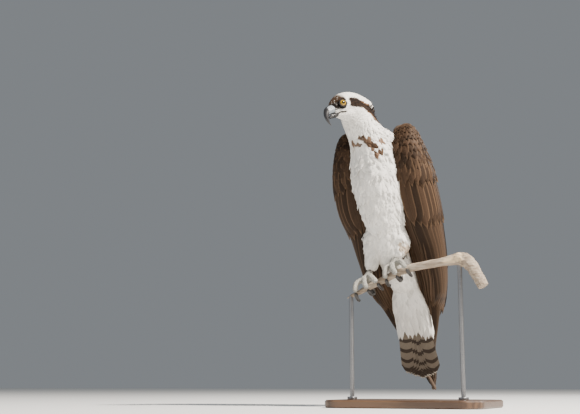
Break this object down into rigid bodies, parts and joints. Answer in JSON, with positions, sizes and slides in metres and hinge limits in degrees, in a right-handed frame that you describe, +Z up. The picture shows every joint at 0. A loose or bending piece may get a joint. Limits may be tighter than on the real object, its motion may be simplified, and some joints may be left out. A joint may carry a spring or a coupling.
{
  "type": "osprey",
  "caption": "Life-size still model of an osprey with folded wings, gripping a short cut branch that two rods hold above a flat base.",
  "frame": {"origin": "on the underside of the stand's base, straight below the middle of the bird's grip on the branch", "axes": "+Z up, -Y the way the bird's body faces, +X the bird's left side"},
  "size_m": [0.2983, 0.3066, 0.575],
  "materials": {
    "head_feathers": "white plumage with a dark brown eye stripe and streaked crown",
    "white_feathers": "soft white plumage",
    "wing_feathers": "dark brown plumage with paler feather edges",
    "tail_feathers": "grey-brown plumage with dark bars and pale tips",
    "bill": "satin black horn, blue-grey at its root",
    "eye": "polished, amber iris and black pupil",
    "foot_skin": "pale grey scaly skin",
    "claw": "satin black horn",
    "bark": "weathered grey-tan bark",
    "stand_wood": "dark stained, satin",
    "stand_metal": "dark brushed"
  },
  "bodies": {
    "root": {"head": "head_feathers", "neck": "white_feathers", "torso": "white_feathers", "bill_upper": "bill", "bill_lower": "bill", "eye_left": "eye", "eye_right": "eye", "wing_left": "wing_feathers", "wing_right": "wing_feathers", "tail": "tail_feathers", "thigh_left": "white_feathers", "thigh_right": "white_feathers", "tarsus_left": "foot_skin", "tarsus_right": "foot_skin", "toe_left_inner": "foot_skin", "toe_left_middle": "foot_skin", "toe_left_outer": "foot_skin", "toe_left_back": "foot_skin", "toe_right_inner": "foot_skin", "toe_right_middle": "foot_skin", "toe_right_outer": "foot_skin", "toe_right_back": "foot_skin", "claw_left_inner": "claw", "claw_left_middle": "claw", "claw_left_outer": "claw", "claw_left_back": "claw", "claw_right_inner": "claw", "claw_right_middle": "claw", "claw_right_outer": "claw", "claw_right_back": "claw", "perch": "bark", "stand_base": "stand_wood", "stand_rod_left": "stand_metal", "stand_rod_right": "stand_metal"}
  },
  "joints": []
}
